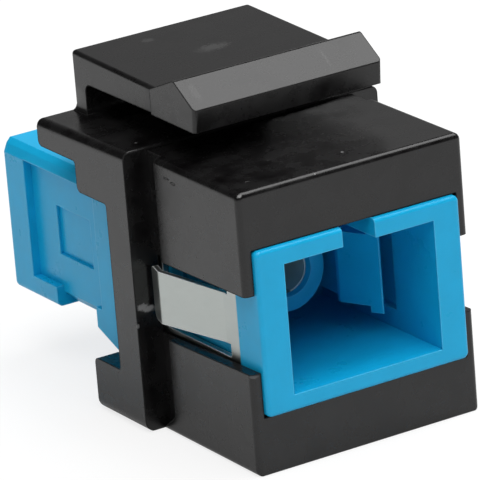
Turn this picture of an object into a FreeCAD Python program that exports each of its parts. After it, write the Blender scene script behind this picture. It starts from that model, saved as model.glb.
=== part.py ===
import FreeCAD, Part
import os
from math import cos, sin
from FreeCAD import Vector

# SC fibre adapter in a keystone snap-in housing.
#
# A blue SC-to-SC coupling slides into a black moulded housing from behind. Its middle flange
# stops against the housing, and the two tabs of a steel clip spring out of the side slots to
# hold it. The housing's latch arm, moulded over its top, snaps the whole thing into a panel.
#
# Frame, in millimetres: the origin is on the surface that the part stands on, under the middle
# of the coupling. +X is to the right of the front port, +Y runs from the front port to the rear
# one, and +Z is up. Heights whose name starts with coupling, port, flex_room, flange, recess,
# strap, pocket, side_slot, window or tab are measured from the axis of the ports; the others
# from the origin.

# Coupling, the blue body with a port at each end
coupling_half_length = 13.6
coupling_half_width = 6.6
coupling_top = 4.75
coupling_bottom = -4.75
coupling_rear_bottom = -4.3
coupling_end_edge = 0.25
coupling_rear_end_edge = 0.4
coupling_front_edge = 0.35
coupling_rear_slope_in = 0.5
coupling_rear_slope_down = 0.8
coupling_rear_slope_mid_in = 0.22
coupling_rear_slope_mid_down = 0.3
coupling_rear_slope_round = 0.3
coupling_rear_lower_edge = 0.35
port_axis_z = 8.1
port_half_width = 4.85
port_top = 3.7
port_bottom = -3.8
key_slot_half_width = 1.05
key_slot_length = 8.6
flex_room_half_width = 5.3
flex_room_half_height = 2.67
flex_room_far = 9.2

# Middle flange of the coupling, one half of it on each shell
flange_half_thickness = 1.05
flange_half_width = 6.9
flange_bottom = -5.5
flange_corner = 0.4
gusset_length = 3.15

# Recesses in the coupling's sides that take the steel clip
recess_depth = 0.5
recess_near = 2.7
recess_rear_near = 3.55
recess_far = 11.2
recess_top = 3.95
recess_bottom = -3.1
strap_near = 4.2
strap_far = 8.6
strap_corner = 0.8
pocket_depth = 0.2
pocket_near = 4.95
pocket_far = 8.65
pocket_top = 1.75
pocket_bottom = -1.2

# Hook holder, one behind each port
base_half_width = 5.3
base_half_height = 3.95
base_thickness = 1.55
tube_radius = 2.3
tube_length = 6.05
lip_thickness = 0.33
lip_mouth_radius = 1.45
lip_radius = 1.32
hook_outer_x = 3.8
hook_thickness = 0.7
hook_half_height = 2.1
hook_reach = 9.65
hook_tip_thickness = 0.12
hook_crest_x = 2.5
hook_crest_y = 7.25
hook_crest_round = 0.1
hook_catch_y = 7.0
hook_ear_length = 0.7
hook_ear_half_height = 2.48
hook_edge = 0.06

# Split sleeve that lines up the two 2.5 mm ferrules
sleeve_radius = 1.6
sleeve_bore_radius = 1.25
sleeve_half_length = 5.7
sleeve_slit = 0.45
sleeve_clearance = 0.03

# Keystone housing
nose_half_width = 7.25
nose_height = 16.2
nose_front_y = -13.25
nose_edge = 0.32
nose_long_edge = 0.38
nose_front_edge = 0.12
tunnel_clearance = 0.04
panel_rear_y = -4.75
side_groove_depth = 0.5
side_groove_end_front_z = 1.1
side_groove_end_rear_z = 0.05
side_groove_end_round = 0.3
side_slot_front_top = 2.27
side_slot_front_bottom = -2.15
side_slot_rear_top = 2.05
side_slot_rear_bottom = -2.5
collar_front_y = -3.35
collar_rear_y = -flange_half_thickness
collar_half_width = 8.35
collar_top_z = 16.4
collar_top_corner = 0.5
collar_bottom_corner = 0.7
collar_edge = 0.15
upper_step_rear_y = 2.0
lower_lip_rear_y = 1.75
lower_lip_top_z = 3.15
top_plate_rear_y = 5.95
top_plate_rear_z = 16.2
top_plate_bottom_z = 14.65
step_corner = 0.35
step_root = 0.2
flange_seat_half_width = 6.98
flange_seat_bottom = -5.55
upper_core_z = 14.23
lower_core_z = 1.275
core_half_height = 0.42
core_wall = 1.5
core_inner_x = 0.6
core_outer_x = 6.1

# Latch arm
arm_half_width = 5.9
arm_edge = 0.2
web_thickness = 1.3
web_rear_y = 5.7
web_fillet = 0.5
arm_underside_z = 18.02
arm_rear_top_z = 19.75
arm_rear_corner = 0.3
arm_fold_y = -3.0
arm_fold_z = 19.5
wedge_half_width = 6.1
wedge_corner = 0.15
ridge_y = -5.6
ridge_z = 20.55
wedge_front_y = -7.6
wedge_front_top_z = 19.27
wedge_front_bottom_y = -7.48
wedge_front_bottom_z = 17.95
latch_root_z = 16.2
latch_root_clearance = 0.02

# Steel spring clip
sheet = 0.3
clip_half_width = 6.5
clip_front = 11.15
clip_rear = 2.8
clip_top = 3.85
clip_bottom = -2.95
clip_corner = 0.4
clip_strap_front = 8.5
clip_strap_rear = 4.3
clip_strap_bottom = -4.6
clip_bend = 0.85
window_front = 10.15
window_rear = 3.5
window_top = 2.2
window_bottom = -2.17
window_corner = 0.2
tab_top = 1.7
tab_root_top = 1.5
tab_bottom = -1.4
tab_flare_x = 7.6
tab_knee_y = 4.8
tab_knee_radius = 0.5
tab_tip_x = 7.3
tab_tip_y = 3.65
tab_root_length = 0.35
tab_root_radius = 0.5
tab_lower_corner = 0.5
tab_upper_corner = 0.3

# How far a cutting block runs past the surface that it opens
past = 1.0


def box(x0, x1, y0, y1, z0, z1):
    """Block between two corners."""
    return Part.makeBox(x1 - x0, y1 - y0, z1 - z0, Vector(x0, y0, z0))


def both_sides(shape):
    """A shape and its mirror image in the plane x = 0, as one compound."""
    return Part.makeCompound([shape, shape.mirror(Vector(0, 0, 0), Vector(1, 0, 0))])


def turned_round(shape):
    """The shape turned half a turn about the vertical axis."""
    copy = shape.copy()
    copy.rotate(Vector(0, 0, 0), Vector(0, 0, 1), 180)
    return copy


def rounded_wire(corners):
    """Closed wire through corners given as (point, radius), with an arc at each rounded one."""
    starts = []
    ends = []
    arcs = []
    count = len(corners)
    for i, (point, radius) in enumerate(corners):
        before = corners[i - 1][0] - point
        after = corners[(i + 1) % count][0] - point
        before.normalize()
        after.normalize()
        if radius == 0:
            starts.append(point)
            ends.append(point)
            arcs.append(None)
            continue
        half_angle = before.getAngle(after) / 2
        setback = radius * cos(half_angle) / sin(half_angle)
        bisector = before + after
        bisector.normalize()
        middle = point + bisector * (radius / sin(half_angle) - radius)
        starts.append(point + before * setback)
        ends.append(point + after * setback)
        arcs.append(Part.Arc(starts[-1], middle, ends[-1]).toShape())
    edges = []
    for i in range(count):
        if arcs[i]:
            edges.append(arcs[i])
        edges.append(Part.LineSegment(ends[i], starts[(i + 1) % count]).toShape())
    return Part.Wire(edges)


def along_x(profile, x0, x1):
    """Solid of a profile of (y, z, radius) corners, drawn out along X."""
    wire = rounded_wire([(Vector(x0, y, z), radius) for y, z, radius in profile])
    return Part.Face(wire).extrude(Vector(x1 - x0, 0, 0))


def along_y(profile, y0, y1):
    """Solid of a profile of (x, z, radius) corners, drawn out along Y."""
    wire = rounded_wire([(Vector(x, y0, z), radius) for x, z, radius in profile])
    return Part.Face(wire).extrude(Vector(0, y1 - y0, 0))


def along_z(profile, z0, z1):
    """Solid of a profile of (x, y, radius) corners, drawn out along Z."""
    wire = rounded_wire([(Vector(x, y, z0), radius) for x, y, radius in profile])
    return Part.Face(wire).extrude(Vector(0, 0, z1 - z0))


def rod_along_x(radius, half_length, y, z):
    """Round rod along X, centred on the middle plane."""
    return Part.makeCylinder(radius, 2 * half_length, Vector(-half_length, y, z), Vector(1, 0, 0))


def rod_along_y(radius, y0, y1):
    """Round rod on the axis of the ports."""
    return Part.makeCylinder(radius, y1 - y0, Vector(0, y0, port_axis_z), Vector(0, 1, 0))


def edges_where(shape, wanted):
    """Straight edges of a shape whose middle and direction pass a test."""
    chosen = []
    for edge in shape.Edges:
        if not isinstance(edge.Curve, Part.Line):
            continue
        direction = edge.Vertexes[-1].Point - edge.Vertexes[0].Point
        direction.normalize()
        if wanted(edge.CenterOfMass, direction):
            chosen.append(edge)
    return chosen


def one_solid(shape):
    """The only solid in a shape, with its split faces joined."""
    solids = shape.removeSplitter().Solids
    assert len(solids) == 1, "expected one solid, found %d" % len(solids)
    assert solids[0].isValid()
    return solids[0]


def keystone_housing():
    """Black moulding: a nose for the panel opening, a collar behind it and a tunnel through."""
    tunnel_x = coupling_half_width + tunnel_clearance
    tunnel_bottom = port_axis_z + coupling_bottom - tunnel_clearance
    tunnel_top = port_axis_z + coupling_top + tunnel_clearance

    nose = box(-nose_half_width, nose_half_width, nose_front_y, collar_front_y + past,
               0, nose_height)
    nose = nose.makeFillet(nose_long_edge, edges_where(
        nose, lambda at, way: abs(way.y) > 0.9 and at.z > port_axis_z))
    nose = nose.makeFillet(nose_edge, edges_where(
        nose, lambda at, way: at.y < nose_front_y + nose_edge and abs(way.z) > 0.9
        or abs(way.y) > 0.9 and at.z < nose_edge / 2))
    nose = nose.makeFillet(nose_front_edge, edges_where(
        nose, lambda at, way: at.y < nose_front_y + past and abs(way.x) > 0.9))
    side_groove = along_x([(panel_rear_y, nose_height + past, 0),
                           (panel_rear_y, side_groove_end_front_z, side_groove_end_round),
                           (collar_front_y, side_groove_end_rear_z, 0),
                           (collar_front_y, nose_height + past, 0)],
                          nose_half_width - side_groove_depth, collar_half_width)
    side_slot = along_x([(nose_front_y - past, port_axis_z + side_slot_front_bottom, 0),
                         (collar_front_y, port_axis_z + side_slot_rear_bottom, 0),
                         (collar_front_y, port_axis_z + side_slot_rear_top, 0),
                         (nose_front_y - past, port_axis_z + side_slot_front_top, 0)],
                        tunnel_x, collar_half_width)
    nose = nose.cut(both_sides(side_groove)).cut(both_sides(side_slot))

    top_and_sides = along_x([(collar_front_y, -past, 0), (top_plate_rear_y, -past, 0),
                             (top_plate_rear_y, top_plate_rear_z, 0),
                             (collar_front_y, collar_top_z, 0)],
                            -collar_half_width, collar_half_width)
    top_and_sides = top_and_sides.makeFillet(collar_top_corner, edges_where(
        top_and_sides, lambda at, way: abs(way.y) > 0.9 and at.z > nose_height))
    lower_outline = along_y([(-collar_half_width, 0, collar_bottom_corner),
                             (collar_half_width, 0, collar_bottom_corner),
                             (collar_half_width, collar_top_z + past, 0),
                             (-collar_half_width, collar_top_z + past, 0)],
                            collar_front_y, top_plate_rear_y)
    side_view = along_x([(collar_front_y, 0, collar_edge), (lower_lip_rear_y, 0, step_corner),
                         (lower_lip_rear_y, lower_lip_top_z, step_corner),
                         (collar_rear_y, lower_lip_top_z, step_root),
                         (collar_rear_y, tunnel_top, step_root),
                         (upper_step_rear_y, tunnel_top, step_corner),
                         (upper_step_rear_y, top_plate_bottom_z, step_root),
                         (top_plate_rear_y, top_plate_bottom_z, step_corner),
                         (top_plate_rear_y, top_plate_rear_z, collar_edge),
                         (collar_front_y, collar_top_z, collar_edge)],
                        -collar_half_width, collar_half_width)
    collar = side_view.common(top_and_sides).common(lower_outline)

    tunnel = box(-tunnel_x, tunnel_x, nose_front_y - past, top_plate_rear_y,
                 tunnel_bottom, tunnel_top)
    flange_seat = box(-flange_seat_half_width, flange_seat_half_width, collar_rear_y,
                      top_plate_rear_y, port_axis_z + flange_seat_bottom, tunnel_top)
    housing = nose.fuse(collar)
    housing = housing.cut(tunnel).cut(flange_seat)
    for level, rear_y in ((upper_core_z, upper_step_rear_y), (lower_core_z, lower_lip_rear_y)):
        core = box(core_inner_x, core_outer_x, nose_front_y + core_wall, rear_y + past,
                   level - core_half_height, level + core_half_height)
        housing = housing.cut(both_sides(core))

    root = rod_along_x(web_thickness / 2 + latch_root_clearance,
                       arm_half_width + latch_root_clearance,
                       web_rear_y - web_thickness / 2, latch_root_z)
    return one_solid(housing.cut(root))


def latch_arm():
    """Arm over the housing with a wedge at its free end. Its half-round root is the bend line."""
    web_front_y = web_rear_y - web_thickness
    arm = along_x([(web_rear_y, latch_root_z, 0), (web_rear_y, arm_rear_top_z, arm_rear_corner),
                   (arm_fold_y - 0.5, arm_fold_z, 0), (arm_fold_y - 0.5, arm_underside_z, 0),
                   (web_front_y, arm_underside_z, web_fillet), (web_front_y, latch_root_z, 0)],
                  -arm_half_width, arm_half_width)
    arm = arm.makeFillet(arm_edge, edges_where(
        arm, lambda at, way: abs(way.y) > 0.9 and at.z > arm_fold_z - 0.1))
    wedge = along_x([(arm_fold_y, arm_underside_z, 0), (arm_fold_y, arm_fold_z, 0),
                     (ridge_y, ridge_z, wedge_corner),
                     (wedge_front_y, wedge_front_top_z, wedge_corner),
                     (wedge_front_bottom_y, wedge_front_bottom_z, wedge_corner)],
                    -wedge_half_width, wedge_half_width)
    root = rod_along_x(web_thickness / 2, arm_half_width,
                       web_rear_y - web_thickness / 2, latch_root_z)
    return one_solid(arm.fuse(wedge).fuse(root))


def shell(rear_end):
    """Half of the coupling's body, drawn as the rear half with its port facing +Y."""
    half_width = coupling_half_width
    low = port_axis_z + (coupling_rear_bottom if rear_end else coupling_bottom)
    high = port_axis_z + coupling_top
    far = coupling_half_length
    body = box(-half_width, half_width, 0, far, low, high)
    if rear_end:
        body = body.makeFillet(coupling_rear_lower_edge, edges_where(
            body, lambda at, way: abs(way.y) > 0.9 and at.z < port_axis_z))
        slope = along_y([(half_width - coupling_rear_slope_in, high, 0),
                         (half_width - coupling_rear_slope_mid_in,
                          high - coupling_rear_slope_mid_down, coupling_rear_slope_round),
                         (half_width, high - coupling_rear_slope_down, 0),
                         (half_width + past, high - coupling_rear_slope_down, 0),
                         (half_width + past, high, 0)], -past, far + past)
        body = body.cut(both_sides(slope))
    else:
        body = body.makeFillet(coupling_front_edge, edges_where(
            body, lambda at, way: abs(way.y) > 0.9))
    body = body.makeFillet(coupling_rear_end_edge if rear_end else coupling_end_edge, [
        edge for edge in body.Edges if abs(edge.CenterOfMass.y - far) < 0.01])

    flange = along_y([(-flange_half_width, port_axis_z + flange_bottom, flange_corner),
                      (flange_half_width, port_axis_z + flange_bottom, flange_corner),
                      (flange_half_width, high, flange_corner),
                      (-flange_half_width, high, flange_corner)], 0, flange_half_thickness)
    body = body.fuse(flange)
    if rear_end:
        gusset_top = low + coupling_rear_lower_edge
        gusset = along_x([(flange_half_thickness, port_axis_z + flange_bottom, 0),
                          (flange_half_thickness + gusset_length, low, 0),
                          (flange_half_thickness + gusset_length, gusset_top, 0),
                          (flange_half_thickness, gusset_top, 0)], -half_width, half_width)
        body = body.fuse(gusset)

    floor_x = half_width - recess_depth
    strap_floor = port_axis_z + coupling_bottom + recess_depth
    side_recess = box(floor_x, half_width + past,
                      recess_rear_near if rear_end else recess_near, recess_far,
                      port_axis_z + recess_bottom, port_axis_z + recess_top)
    side_strap = box(floor_x, half_width + past, strap_near, strap_far,
                     strap_floor, port_axis_z + recess_top)
    under_strap = box(-half_width - past, half_width + past, strap_near, strap_far,
                      strap_floor - past, strap_floor)
    strap_edge = along_y([(floor_x - strap_corner, strap_floor, 0),
                          (floor_x + past, strap_floor, 0),
                          (floor_x + past, strap_floor + past + strap_corner, 0)],
                         strap_near, strap_far)
    pocket = box(floor_x - pocket_depth, half_width + past, pocket_near, pocket_far,
                 port_axis_z + pocket_bottom, port_axis_z + pocket_top)
    for cut in (side_recess, side_strap, strap_edge, pocket):
        body = body.cut(both_sides(cut))
    body = body.cut(under_strap)

    port = box(-port_half_width, port_half_width, base_thickness, far + past,
               port_axis_z + port_bottom, port_axis_z + port_top)
    base_seat = box(-base_half_width, base_half_width, -past, base_thickness,
                    port_axis_z - base_half_height, port_axis_z + base_half_height)
    key_slot = box(-key_slot_half_width, key_slot_half_width, far - key_slot_length, far + past,
                   port_axis_z, high + past)
    flex_room = box(-flex_room_half_width, flex_room_half_width, 0, flex_room_far,
                    port_axis_z - flex_room_half_height, port_axis_z + flex_room_half_height)
    for cut in (port, base_seat, key_slot, flex_room):
        body = body.cut(cut)
    return one_solid(body)


def hook_holder():
    """Base plate, sleeve tube and two latching hooks in one moulding, facing +Y."""
    base = box(-base_half_width, base_half_width, 0, base_thickness,
               port_axis_z - base_half_height, port_axis_z + base_half_height)
    hook_inner_x = hook_outer_x - hook_thickness
    arm = box(hook_inner_x, hook_outer_x, 0, hook_catch_y,
              port_axis_z - hook_half_height, port_axis_z + hook_half_height)
    ramp = [(hook_outer_x, hook_catch_y, 0), (hook_outer_x, hook_reach, hook_edge),
            (hook_outer_x - hook_tip_thickness, hook_reach, 0),
            (hook_crest_x, hook_crest_y, hook_crest_round), (hook_crest_x, hook_catch_y, 0)]
    barb = along_z(ramp, port_axis_z - hook_half_height, port_axis_z + hook_half_height)
    tip = along_z(ramp, port_axis_z - hook_ear_half_height, port_axis_z + hook_ear_half_height)
    ears = tip.common(box(0, hook_outer_x, hook_reach - hook_ear_length, hook_reach,
                          port_axis_z - hook_ear_half_height, port_axis_z + hook_ear_half_height))
    hook = arm.fuse(barb).fuse(ears)
    holder = base.fuse(rod_along_y(tube_radius, 0, tube_length)).fuse(both_sides(hook))

    lip_y = tube_length - lip_thickness
    bore = rod_along_y(sleeve_radius + sleeve_clearance, -past, lip_y)
    lead_in = Part.makeCone(lip_radius, lip_mouth_radius, lip_thickness,
                            Vector(0, lip_y, port_axis_z), Vector(0, 1, 0))
    return one_solid(holder.cut(bore).cut(lead_in))


def alignment_sleeve():
    """Ceramic tube with a slit along its underside, free to float between the two holders."""
    sleeve = rod_along_y(sleeve_radius, -sleeve_half_length, sleeve_half_length)
    bore = rod_along_y(sleeve_bore_radius, -sleeve_half_length, sleeve_half_length)
    slit = box(-sleeve_slit / 2, sleeve_slit / 2, -sleeve_half_length, sleeve_half_length,
               port_axis_z - sleeve_radius - past, port_axis_z)
    return one_solid(sleeve.cut(bore).cut(slit))


def spring_clip():
    """Steel strip folded into a U under the front half, with a tab lanced out of each side."""
    inner = clip_half_width - sheet
    low = port_axis_z + clip_strap_bottom
    outside = along_y([(-clip_half_width, port_axis_z, 0), (-clip_half_width, low, clip_bend),
                       (clip_half_width, low, clip_bend), (clip_half_width, port_axis_z, 0)],
                      -clip_strap_front, -clip_strap_rear)
    inside = along_y([(-inner, port_axis_z, 0), (-inner, low + sheet, clip_bend - sheet),
                      (inner, low + sheet, clip_bend - sheet), (inner, port_axis_z, 0)],
                     -clip_strap_front, -clip_strap_rear)
    clip = outside.cut(inside)

    plate = along_x([(-clip_front, port_axis_z + clip_bottom, clip_corner),
                     (-clip_rear, port_axis_z + clip_bottom, clip_corner),
                     (-clip_rear, port_axis_z + clip_top, clip_corner),
                     (-clip_front, port_axis_z + clip_top, clip_corner)],
                    inner, clip_half_width)
    window = along_x([(-window_front, port_axis_z + window_bottom, window_corner),
                      (-window_rear, port_axis_z + window_bottom, window_corner),
                      (-window_rear, port_axis_z + window_top, window_corner),
                      (-window_front, port_axis_z + window_top, window_corner)],
                     inner, clip_half_width)
    clip = clip.fuse(both_sides(plate)).cut(both_sides(window))

    root_y = -window_front + tab_root_length
    bent = along_z([(inner, -window_front, 0), (clip_half_width, -window_front, 0),
                    (clip_half_width, root_y, tab_root_radius),
                    (tab_flare_x, -tab_knee_y, tab_knee_radius),
                    (tab_tip_x, -tab_tip_y, 0), (tab_tip_x - sheet, -tab_tip_y, 0),
                    (tab_flare_x - sheet, -tab_knee_y, tab_knee_radius - sheet),
                    (inner, root_y, tab_root_radius + sheet)],
                   port_axis_z + tab_bottom, port_axis_z + tab_top)
    cut_out = along_x([(-window_front, port_axis_z + tab_bottom, 0),
                       (-tab_tip_y, port_axis_z + tab_bottom, tab_lower_corner),
                       (-tab_tip_y, port_axis_z + tab_top, tab_upper_corner),
                       (-window_front, port_axis_z + tab_root_top, 0)], inner, tab_flare_x)
    return one_solid(clip.fuse(both_sides(bent.common(cut_out))))


nodes = {
    "keystone_housing": keystone_housing(),
    "latch_arm": latch_arm(),
    "front_shell": turned_round(shell(rear_end=False)),
    "rear_shell": shell(rear_end=True),
    "front_hook_holder": turned_round(hook_holder()),
    "rear_hook_holder": hook_holder(),
    "alignment_sleeve": alignment_sleeve(),
    "spring_clip": spring_clip(),
}

os.makedirs("parts", exist_ok=True)
for name, solid in nodes.items():
    solid.exportStep("parts/%s.step" % name)
    print("%-18s %8.2f mm3" % (name, solid.Volume))
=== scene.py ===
from math import cos, radians, sin

import bmesh
import bpy
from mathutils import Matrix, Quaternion, Vector


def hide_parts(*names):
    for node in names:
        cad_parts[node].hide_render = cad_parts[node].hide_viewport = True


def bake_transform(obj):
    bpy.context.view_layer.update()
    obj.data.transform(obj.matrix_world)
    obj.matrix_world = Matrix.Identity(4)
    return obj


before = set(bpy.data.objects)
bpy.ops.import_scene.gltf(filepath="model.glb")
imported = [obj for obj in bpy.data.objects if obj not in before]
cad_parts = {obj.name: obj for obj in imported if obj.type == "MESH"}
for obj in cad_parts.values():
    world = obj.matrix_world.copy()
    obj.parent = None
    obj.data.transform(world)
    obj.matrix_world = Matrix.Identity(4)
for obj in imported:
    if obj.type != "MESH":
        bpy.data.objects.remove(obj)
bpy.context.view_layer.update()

mm = 0.001


# ---------------------------------------------------------------------------------------------
# Housing: the nose that fits the panel opening, the collar behind it and the plate on top.
# One injection moulding in black ABS with a satin skin, slightly mottled, its edges a little
# lighter where they have been handled.

def new_group(name, inputs, outputs):
    """Empty shader node group with float, colour or vector sockets given by name."""
    group = bpy.data.node_groups.new(name, "ShaderNodeTree")
    for label, kind in inputs:
        group.interface.new_socket(name=label, in_out="INPUT", socket_type=kind)
    for label, kind in outputs:
        group.interface.new_socket(name=label, in_out="OUTPUT", socket_type=kind)
    return group


def put(tree, kind, settings=None, **inputs):
    """Node of a kind, with its settings, its plain input values and its links."""
    node = tree.nodes.new(kind)
    for name, value in (settings or {}).items():
        setattr(node, name, value)
    for name, value in inputs.items():
        socket = node.inputs[name.replace("_", " ")]
        if isinstance(value, bpy.types.NodeSocket):
            tree.links.new(value, socket)
        else:
            socket.default_value = value
    return node


def math_step(tree, operation, first, second=0.0, third=None):
    """Output of one Math node."""
    node = tree.nodes.new("ShaderNodeMath")
    node.operation = operation
    given = (first, second) if third is None else (first, second, third)
    for socket, value in zip(node.inputs, given):
        if isinstance(value, bpy.types.NodeSocket):
            tree.links.new(value, socket)
        else:
            socket.default_value = value
    return node.outputs[0]


FLOAT, COLOUR, VECTOR = "NodeSocketFloat", "NodeSocketColor", "NodeSocketVector"

# Skin of a moulding: cloudy flow marks, a fine grain left by the mould and its rounded edges.
moulded_skin = new_group(
    "moulded_skin",
    [("Cloud Size", FLOAT), ("Grain Size", FLOAT), ("Grain Height", FLOAT), ("Edge Radius", FLOAT)],
    [("Clouds", FLOAT), ("Grain", FLOAT), ("Edges", FLOAT), ("Normal", VECTOR)])
tree = moulded_skin
given = tree.nodes.new("NodeGroupInput")
result = tree.nodes.new("NodeGroupOutput")
place = tree.nodes.new("ShaderNodeTexCoord").outputs["Object"]
cloud_scale = math_step(tree, "DIVIDE", 1.0, given.outputs["Cloud Size"])
grain_scale = math_step(tree, "DIVIDE", 1.0, given.outputs["Grain Size"])
clouds = put(tree, "ShaderNodeTexNoise", Vector=place, Scale=cloud_scale, Detail=4.0,
             Roughness=0.6)
grain = put(tree, "ShaderNodeTexNoise", Vector=place, Scale=grain_scale, Detail=2.0,
            Roughness=0.5)
within = put(tree, "ShaderNodeAmbientOcclusion", {"samples": 8, "inside": True, "only_local": True},
             Distance=given.outputs["Edge Radius"])
edge_mask = put(tree, "ShaderNodeMapRange", Value=within.outputs["AO"], From_Min=0.93,
                From_Max=0.55, To_Min=0.0, To_Max=1.0).outputs["Result"]
rounded = put(tree, "ShaderNodeBevel", {"samples": 6}, Radius=given.outputs["Edge Radius"])
facing = tree.nodes.new("ShaderNodeNewGeometry").outputs["Normal"]
eased = put(tree, "ShaderNodeMix", {"data_type": "VECTOR"})
tree.links.new(math_step(tree, "MINIMUM", math_step(tree, "MULTIPLY", edge_mask, 4.0), 1.0),
               eased.inputs[0])
tree.links.new(facing, eased.inputs[4])
tree.links.new(rounded.outputs["Normal"], eased.inputs[5])
bump = put(tree, "ShaderNodeBump", Strength=1.0, Distance=given.outputs["Grain Height"],
           Height=grain.outputs["Fac"], Normal=eased.outputs[1])
tree.links.new(clouds.outputs["Fac"], result.inputs["Clouds"])
tree.links.new(grain.outputs["Fac"], result.inputs["Grain"])
tree.links.new(edge_mask, result.inputs["Edges"])
tree.links.new(bump.outputs["Normal"], result.inputs["Normal"])


def new_material(name):
    """Empty material, its node tree and its Principled BSDF."""
    material = bpy.data.materials.new(name)
    material.use_nodes = True
    shader = material.node_tree.nodes["Principled BSDF"]
    return material, material.node_tree, shader


# Mark with a ragged border: an ellipsoid round a point of the part, broken up by a fine noise.
ragged_spot = new_group("ragged_spot", [("Centre", VECTOR), ("Reach", VECTOR), ("Raggedness", FLOAT)],
                        [("Mask", FLOAT)])
tree = ragged_spot
given = tree.nodes.new("NodeGroupInput")
result = tree.nodes.new("NodeGroupOutput")
place = tree.nodes.new("ShaderNodeTexCoord").outputs["Object"]
offset = put(tree, "ShaderNodeVectorMath", {"operation": "SUBTRACT"})
tree.links.new(place, offset.inputs[0])
tree.links.new(given.outputs["Centre"], offset.inputs[1])
share = put(tree, "ShaderNodeVectorMath", {"operation": "DIVIDE"})
tree.links.new(offset.outputs["Vector"], share.inputs[0])
tree.links.new(given.outputs["Reach"], share.inputs[1])
far = put(tree, "ShaderNodeVectorMath", {"operation": "LENGTH"})
tree.links.new(share.outputs["Vector"], far.inputs[0])
crumbs = put(tree, "ShaderNodeTexNoise", Vector=place, Scale=7000.0, Detail=3.0, Roughness=0.6)
torn = math_step(tree, "MULTIPLY_ADD", math_step(tree, "SUBTRACT", crumbs.outputs["Fac"], 0.5),
                 given.outputs["Raggedness"], far.outputs["Value"])
spot = put(tree, "ShaderNodeMapRange", {"interpolation_type": "SMOOTHSTEP"}, Value=torn,
           From_Min=1.15, From_Max=0.55, To_Min=0.0, To_Max=1.0)
tree.links.new(spot.outputs["Result"], result.inputs["Mask"])


def spots(tree, marks):
    """Strongest of several ragged spots, each (centre mm, reach mm, raggedness, strength)."""
    strongest = 0.0
    for centre, reach, raggedness, strength in marks:
        mark = put(tree, "ShaderNodeGroup", {"node_tree": ragged_spot},
                   Centre=Vector(centre) * mm, Reach=Vector(reach) * mm, Raggedness=raggedness)
        strongest = math_step(tree, "MAXIMUM", strongest,
                              math_step(tree, "MULTIPLY", mark.outputs["Mask"], strength))
    return strongest


def tint(tree, share, first, second):
    """Colour between two colours or colour sockets."""
    node = put(tree, "ShaderNodeMix", {"data_type": "RGBA"})
    for socket, value in ((node.inputs[0], share), (node.inputs[6], first), (node.inputs[7], second)):
        if isinstance(value, bpy.types.NodeSocket):
            tree.links.new(value, socket)
        else:
            socket.default_value = value
    return node.outputs[2]


black_satin, tree, shader = new_material("black_satin_abs")
skin = put(tree, "ShaderNodeGroup", {"node_tree": moulded_skin}, Cloud_Size=1.6 * mm,
           Grain_Size=0.09 * mm, Grain_Height=0.0012 * mm, Edge_Radius=0.07 * mm)
tone = put(tree, "ShaderNodeMapRange", Value=skin.outputs["Clouds"], From_Min=0.3, From_Max=0.7,
           To_Min=0.0, To_Max=1.0)
colour = tint(tree, tone.outputs["Result"], (0.0020, 0.0016, 0.0018, 1), (0.0100, 0.0098, 0.0100, 1))

# Worn pale: the nose's left top corner and the edge beside it, a nick on the collar and one corner
# of the lower jaw. With them, a painted glint: pale spots on the collar's face below the clip's tab.
wear_and_glint = spots(tree, [
    ((-7.10, -13.20, 16.12), (0.24, 0.16, 0.14), 0.6, 0.75),
    ((-6.45, -13.22, 16.16), (0.75, 0.10, 0.08), 0.9, 0.30),
    ((-5.30, -13.22, 16.17), (1.10, 0.07, 0.06), 1.0, 0.14),
    # Painted glint: the next three spots stand in for the tab's light thrown onto the collar's face.
    ((-7.92, -3.35, 7.38), (0.36, 0.20, 0.20), 1.5, 0.80),
    ((-7.55, -3.35, 7.20), (0.42, 0.20, 0.18), 1.6, 0.80),
    ((-7.05, -3.35, 7.08), (0.28, 0.20, 0.13), 1.6, 0.32),
    ((-8.32, -3.37, 6.34), (0.12, 0.12, 0.14), 0.8, 0.60),
    ((-7.08, -13.20, 5.80), (0.34, 0.22, 0.10), 0.8, 0.28)])
# Dust: five specks on the nose and the collar.
dust = spots(tree, [
    ((0.77, -11.30, 16.20), (0.10, 0.12, 0.10), 0.5, 0.80),
    ((-2.20, -13.17, 16.18), (0.08, 0.10, 0.09), 0.5, 0.85),
    ((-2.85, -9.51, 16.20), (0.06, 0.08, 0.10), 0.5, 0.20),
    ((-6.06, -4.62, 16.20), (0.06, 0.08, 0.10), 0.5, 0.10),
    ((-6.78, -2.24, 16.39), (0.08, 0.10, 0.10), 0.5, 0.45)])
# Finger marks: two smudges on the arm and scuffs across the wedge's slope.
smudge = spots(tree, [
    ((0.27, 0.54, 19.60), (1.00, 0.55, 0.30), 2.6, 0.12),
    ((-1.83, 4.04, 19.70), (0.40, 0.30, 0.30), 2.2, 0.10),
    ((-5.30, -6.60, 19.95), (0.25, 0.90, 0.60), 1.4, 0.06),
    ((3.10, -6.60, 19.95), (0.10, 1.00, 0.60), 1.2, 0.07)])
pale = math_step(tree, "MAXIMUM", wear_and_glint, math_step(tree, "MAXIMUM", dust, smudge))
# Pale grey for real wear, dust and finger marks, and for the painted glint on the collar.
rubbed_and_glint_grey = (0.24, 0.24, 0.24, 1)
colour = tint(tree, pale, colour, rubbed_and_glint_grey)
tree.links.new(colour, shader.inputs["Base Color"])
gloss = put(tree, "ShaderNodeMapRange", Value=skin.outputs["Clouds"], From_Min=0.3, From_Max=0.7,
            To_Min=0.20, To_Max=0.34)
wear_and_glint_dullness, edge_dullness, dullest = 0.4, 1.6, 0.85
gloss = math_step(tree, "MULTIPLY_ADD", wear_and_glint, wear_and_glint_dullness, gloss.outputs["Result"])
gloss = math_step(tree, "MULTIPLY_ADD", skin.outputs["Edges"], edge_dullness, gloss)
gloss = math_step(tree, "MINIMUM", gloss, dullest)
tree.links.new(gloss, shader.inputs["Roughness"])

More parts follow.
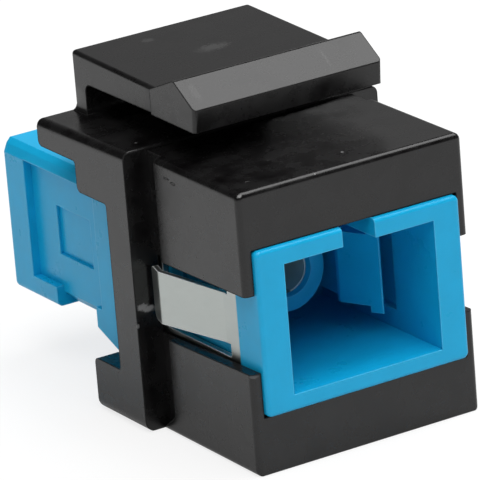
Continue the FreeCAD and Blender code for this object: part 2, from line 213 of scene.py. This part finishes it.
# Nicks: a pit behind the worn corner and two short scratches high on the nose's left side.
nicks = spots(tree, [
    ((-5.59, -11.81, 16.20), (0.16, 0.14, 0.10), 0.9, 1.0),
    ((-7.25, -6.00, 15.36), (0.10, 0.30, 0.06), 0.9, 1.0),
    ((-7.25, -6.65, 15.22), (0.10, 0.25, 0.07), 0.9, 1.0)])
dented = put(tree, "ShaderNodeBump", {"invert": True}, Strength=1.0, Distance=0.05 * mm,
             Height=nicks, Normal=skin.outputs["Normal"])
tree.links.new(dented.outputs["Normal"], shader.inputs["Normal"])

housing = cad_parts["keystone_housing"]
housing.data.materials.clear()
housing.data.materials.append(black_satin)


# ---------------------------------------------------------------------------------------------
# Latch arm: a web that stands on the top plate, an arm reaching forwards over the nose and the
# wedge at its end that snaps behind the panel. It is moulded in one with the housing, so the
# web bends at its foot.

def drawn_along_x(points, half_width):
    """Closed block drawn out along X from a side view of (y, z) points in millimetres."""
    block = bmesh.new()
    outline = [block.verts.new(Vector((-half_width, y, z)) * mm) for y, z in points]
    side = block.faces.new(outline)
    drawn = bmesh.ops.extrude_face_region(block, geom=[side])
    moved = [v for v in drawn["geom"] if isinstance(v, bmesh.types.BMVert)]
    bmesh.ops.translate(block, verts=moved, vec=(2 * half_width * mm, 0, 0))
    bmesh.ops.recalc_face_normals(block, faces=block.faces)
    return block


def round_edges(block, radius, segments, wanted):
    """Round the edges whose middle and direction, in millimetres, pass a test."""
    chosen = []
    for edge in block.edges:
        start, end = (v.co / mm for v in edge.verts)
        if wanted((start + end) / 2, (end - start).normalized()):
            chosen.append(edge)
    bmesh.ops.bevel(block, geom=chosen, offset=radius * mm, offset_type="OFFSET",
                    segments=segments, profile=0.5, affect="EDGES", material=-1)


def finish_piece(name, block, material):
    """Object made from a bmesh, smooth except at its sharp edges."""
    mesh = bpy.data.meshes.new(name)
    block.to_mesh(mesh)
    block.free()
    piece = bpy.data.objects.new(name, mesh)
    bpy.context.scene.collection.objects.link(piece)
    mesh.materials.append(material)
    mesh.shade_smooth()
    mesh.set_sharp_from_angle(angle=radians(40))
    weighted = piece.modifiers.new("even_shading", "WEIGHTED_NORMAL")
    weighted.keep_sharp = True
    return piece


arm_half_width = 5.9
wedge_half_width = 6.1
plate_top = 16.2
web_rear, web_front = 5.7, 4.4
bend_line = 5.05
arm_front, arm_under = -3.5, 18.02
arm_top_rear, arm_top_front = 19.75, 19.5
arm = drawn_along_x([(web_rear, plate_top), (web_rear, arm_top_rear), (arm_front, arm_top_front),
                     (arm_front, arm_under), (web_front, arm_under), (web_front, plate_top)],
                    arm_half_width)
round_edges(arm, 0.5, 6, lambda at, way: abs(way.x) > 0.9 and at.y > 4 and abs(at.z - arm_under) < 0.1)
round_edges(arm, 0.25, 5, lambda at, way: at.z > 19 and (at.y > 5 or abs(at.x) > 5.8 and at.y > -3)
            or abs(way.z) > 0.9 and at.y > 5)
for level in (16.35, 16.6, 16.9, 17.2, 17.5, 17.8):
    bmesh.ops.bisect_plane(arm, geom=arm.verts[:] + arm.edges[:] + arm.faces[:],
                           plane_co=(0, 0, level * mm), plane_no=(0, 0, 1))
foot_flare, foot_height = 0.18, 0.4
for vert in arm.verts:
    height = vert.co.z / mm - plate_top
    if height < foot_height:
        out = foot_flare * (1 - height / foot_height) ** 2 * mm
        vert.co.x += out if vert.co.x > 0 else -out
        vert.co.y += out if vert.co.y > bend_line * mm else -out
wedge_rear, ridge, slope_foot, heel = -3.0, (-5.6, 20.55), (-7.6, 19.27), (-7.48, 17.95)
wedge = drawn_along_x([(wedge_rear, arm_under), (wedge_rear, arm_top_front), ridge, slope_foot, heel],
                      wedge_half_width)
round_edges(wedge, 0.25, 5, lambda at, way: abs(way.z) > 0.9 and at.y < -7)
round_edges(wedge, 0.15, 4, lambda at, way: abs(way.x) > 0.9 and -7 < at.y < -4)
round_edges(wedge, 0.06, 3, lambda at, way: abs(way.x) > 0.9 and at.y < -7)
wedge_mesh = bpy.data.meshes.new("wedge")
wedge.to_mesh(wedge_mesh)
wedge.free()
arm.from_mesh(wedge_mesh)
bpy.data.meshes.remove(wedge_mesh)
bending_latch = finish_piece("bending_latch", arm, black_satin)
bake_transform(bending_latch)
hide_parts("latch_arm")


# ---------------------------------------------------------------------------------------------
# Coupling shells: the two halves of the blue body, one port in each, welded together at the
# flange in the middle. Moulded in a coloured polymer, glossier than the housing.

blue_gloss, tree, shader = new_material("blue_polymer")
skin = put(tree, "ShaderNodeGroup", {"node_tree": moulded_skin}, Cloud_Size=2.2 * mm,
           Grain_Size=0.12 * mm, Grain_Height=0.0008 * mm, Edge_Radius=0.08 * mm)
tone = put(tree, "ShaderNodeMapRange", Value=skin.outputs["Clouds"], From_Min=0.3, From_Max=0.7,
           To_Min=0.0, To_Max=1.0)
colour = tint(tree, tone.outputs["Result"], (0.004, 0.385, 0.690, 1), (0.006, 0.425, 0.760, 1))
# Painted highlight: convex edges are mixed towards a paler blue to show the light caught on the
# rounded edges.
edge_highlight = math_step(tree, "MULTIPLY", skin.outputs["Edges"], 0.6)
colour = tint(tree, edge_highlight, colour, (0.12, 0.60, 0.92, 1))
tree.links.new(colour, shader.inputs["Base Color"])
gloss = put(tree, "ShaderNodeMapRange", Value=skin.outputs["Clouds"], From_Min=0.3, From_Max=0.7,
            To_Min=0.26, To_Max=0.36)
tree.links.new(gloss.outputs["Result"], shader.inputs["Roughness"])
tree.links.new(skin.outputs["Normal"], shader.inputs["Normal"])
shader.inputs["Specular IOR Level"].default_value = 0.3
for name in ("front_shell", "rear_shell"):
    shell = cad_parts[name]
    shell.data.materials.clear()
    shell.data.materials.append(blue_gloss)


# ---------------------------------------------------------------------------------------------
# Hook holders: one behind each port, a base plate with a tube for the sleeve and two hooks that
# hold the plug. Moulded in the same blue polymer.

for name in ("front_hook_holder", "rear_hook_holder"):
    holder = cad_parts[name]
    holder.data.materials.clear()
    holder.data.materials.append(blue_gloss)


# ---------------------------------------------------------------------------------------------
# Alignment sleeve: a ground zirconia tube with a slit, loose in the two tubes, that lines up
# the ferrules of the two plugs.

shaded_teal_ceramic, tree, shader = new_material("zirconia")
place = tree.nodes.new("ShaderNodeTexCoord").outputs["Object"]
lines = put(tree, "ShaderNodeTexNoise", Vector=place, Scale=2500.0, Detail=3.0)
gloss = put(tree, "ShaderNodeMapRange", Value=lines.outputs["Fac"], From_Min=0.3, From_Max=0.7,
            To_Min=0.12, To_Max=0.22)
tree.links.new(gloss.outputs["Result"], shader.inputs["Roughness"])
# Painted shade: the base colour is darker than white zirconia and tinted teal for the shade and blue
# light inside the tube.
shader.inputs["Base Color"].default_value = (0.50, 0.60, 0.60, 1)
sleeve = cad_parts["alignment_sleeve"]
sleeve.data.materials.clear()
sleeve.data.materials.append(shaded_teal_ceramic)


# ---------------------------------------------------------------------------------------------
# Spring clip: a strip of spring steel folded round the underside of the front half. A tab is
# cut free and bent out of each side, to spring out through the housing's side slots.

spring_steel, tree, shader = new_material("spring_steel")
skin = put(tree, "ShaderNodeGroup", {"node_tree": moulded_skin}, Cloud_Size=1.5 * mm,
           Grain_Size=0.15 * mm, Grain_Height=0.0004 * mm, Edge_Radius=0.08 * mm)
place = tree.nodes.new("ShaderNodeTexCoord").outputs["Object"]
rolled = put(tree, "ShaderNodeMapping", Vector=place, Scale=(1.0, 0.06, 1.0))
lines = put(tree, "ShaderNodeTexNoise", Vector=rolled.outputs["Vector"], Scale=9000.0,
            Detail=3.0)
gloss = put(tree, "ShaderNodeMapRange", Value=lines.outputs["Fac"], From_Min=0.3, From_Max=0.7,
            To_Min=0.28, To_Max=0.38)
gloss = math_step(tree, "MULTIPLY_ADD", skin.outputs["Edges"], 0.25, gloss.outputs["Result"])
tree.links.new(gloss, shader.inputs["Roughness"])
# Painted highlight: convex and cut edges turn a pale, less metallic grey for the bright line along the
# sheet's cut edges.
colour = tint(tree, skin.outputs["Edges"], (0.47, 0.50, 0.48, 1), (0.80, 0.83, 0.84, 1))
tree.links.new(colour, shader.inputs["Base Color"])
metal = math_step(tree, "SUBTRACT", 1.0, math_step(tree, "MULTIPLY", skin.outputs["Edges"], 0.7))
tree.links.new(metal, shader.inputs["Metallic"])
tree.links.new(skin.outputs["Normal"], shader.inputs["Normal"])
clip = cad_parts["spring_clip"]
clip.data.materials.clear()
clip.data.materials.append(spring_steel)


# ---------------------------------------------------------------------------------------------
# Studio: a plain white floor, which mirrors and lenses also see as white, a wide soft lamp
# high in front, a weaker one overhead to the right, and pale surroundings up to head height.

floor_block = bmesh.new()
bmesh.ops.create_grid(floor_block, x_segments=1, y_segments=1, size=1.5)
floor_mesh = bpy.data.meshes.new("floor")
floor_block.to_mesh(floor_mesh)
floor_block.free()
floor = bpy.data.objects.new("floor", floor_mesh)
bpy.context.scene.collection.objects.link(floor)

white_card = bpy.data.materials.new("white_card")
white_card.use_nodes = True
tree = white_card.node_tree
tree.nodes.clear()
ray = tree.nodes.new("ShaderNodeLightPath").outputs
mirrored = math_step(tree, "MAXIMUM", ray["Is Glossy Ray"], ray["Is Transmission Ray"])
share = math_step(tree, "MULTIPLY_ADD", ray["Is Camera Ray"], 0.78,
                  math_step(tree, "MULTIPLY", mirrored, 0.15))
card_tone = math_step(tree, "MULTIPLY_ADD", ray["Is Camera Ray"], 0.30, 0.70)
card = put(tree, "ShaderNodeBsdfDiffuse", Color=card_tone)
glow = put(tree, "ShaderNodeEmission", Color=(1, 1, 1, 1), Strength=1.0)
mixed = put(tree, "ShaderNodeMixShader")
tree.links.new(share, mixed.inputs[0])
tree.links.new(card.outputs[0], mixed.inputs[1])
tree.links.new(glow.outputs[0], mixed.inputs[2])
surface = tree.nodes.new("ShaderNodeOutputMaterial")
tree.links.new(mixed.outputs[0], surface.inputs["Surface"])
floor_mesh.materials.append(white_card)

world = bpy.data.worlds.new("studio")
bpy.context.scene.world = world
world.use_nodes = True
tree = world.node_tree
tree.nodes.clear()
ray = tree.nodes.new("ShaderNodeLightPath").outputs
way = tree.nodes.new("ShaderNodeTexCoord").outputs["Generated"]
parts = put(tree, "ShaderNodeSeparateXYZ", Vector=way)
room = tree.nodes.new("ShaderNodeValToRGB")
tree.links.new(parts.outputs["Z"], room.inputs["Fac"])
ramp = room.color_ramp
ramp.elements[0].position, ramp.elements[0].color = 0.0, (0.30, 0.30, 0.30, 1)
ramp.elements[1].position, ramp.elements[1].color = 0.50, (0.04, 0.04, 0.04, 1)
for level, grey in ((0.32, 0.32), (0.39, 0.31), (0.45, 0.10)):
    step = ramp.elements.new(level)
    step.color = (grey, grey, grey, 1)
screen = put(tree, "ShaderNodeMapRange", {"interpolation_type": "SMOOTHSTEP"},
             Value=parts.outputs["X"], From_Min=-0.25, From_Max=0.25, To_Min=0.12, To_Max=1.0)
behind = put(tree, "ShaderNodeMapRange", {"interpolation_type": "SMOOTHSTEP"},
             Value=parts.outputs["Y"], From_Min=-0.2, From_Max=0.4, To_Min=0.12, To_Max=1.0)
screen = math_step(tree, "MULTIPLY", screen.outputs["Result"], behind.outputs["Result"])
seen_room = put(tree, "ShaderNodeBackground", Color=room.outputs["Color"], Strength=screen)
high = put(tree, "ShaderNodeMapRange", Value=parts.outputs["Z"], From_Min=0.1, From_Max=0.8,
           To_Min=0.08, To_Max=0.35)
soft = put(tree, "ShaderNodeBackground", Color=(1, 1, 1, 1), Strength=high.outputs["Result"])
plain = put(tree, "ShaderNodeBackground", Color=(1, 1, 1, 1), Strength=1.0)
unseen = put(tree, "ShaderNodeMixShader")
tree.links.new(math_step(tree, "MAXIMUM", ray["Is Glossy Ray"], ray["Is Transmission Ray"]),
               unseen.inputs[0])
tree.links.new(soft.outputs[0], unseen.inputs[1])
tree.links.new(seen_room.outputs[0], unseen.inputs[2])
whole = put(tree, "ShaderNodeMixShader")
tree.links.new(ray["Is Camera Ray"], whole.inputs[0])
tree.links.new(unseen.outputs[0], whole.inputs[1])
tree.links.new(plain.outputs[0], whole.inputs[2])
surface = tree.nodes.new("ShaderNodeOutputWorld")
tree.links.new(whole.outputs[0], surface.inputs["Surface"])


def soft_lamp(name, away, distance, size, power):
    """Square area lamp in a direction from the part's middle, facing it."""
    middle = Vector((0, 0, 10)) * mm
    data = bpy.data.lights.new(name, "AREA")
    data.shape = "SQUARE"
    data.size = size
    data.energy = power
    lamp = bpy.data.objects.new(name, data)
    bpy.context.scene.collection.objects.link(lamp)
    lamp.location = middle + Vector(away).normalized() * distance
    lamp.rotation_euler = (middle - lamp.location).to_track_quat("-Z", "Y").to_euler()


soft_lamp("key", away=(-0.13, -0.38, 0.915), distance=0.6, size=0.55, power=3.0)
soft_lamp("overhead", away=(0.48, 0.04, 0.877), distance=0.6, size=0.45, power=2.2)


# ---------------------------------------------------------------------------------------------
# Camera: a long lens, to the left of the front port and above it, a little rolled.

aim = Vector((-0.56, -2.04, 9.08)) * mm
to_left, above, roll = radians(30.83), radians(19.5), radians(-4.72)
distance = 304.1 * mm
away = Vector((-sin(to_left) * cos(above), -cos(to_left) * cos(above), sin(above)))
camera_data = bpy.data.cameras.new("camera")
camera_data.lens = 409.5
camera = bpy.data.objects.new("camera", camera_data)
bpy.context.scene.collection.objects.link(camera)
camera.location = aim + away * distance
camera.rotation_mode = "QUATERNION"
camera.rotation_quaternion = (-away).to_track_quat("-Z", "Y") @ Quaternion((0, 0, 1), roll)
bpy.context.scene.camera = camera
bpy.context.scene.view_settings.view_transform = "Standard"
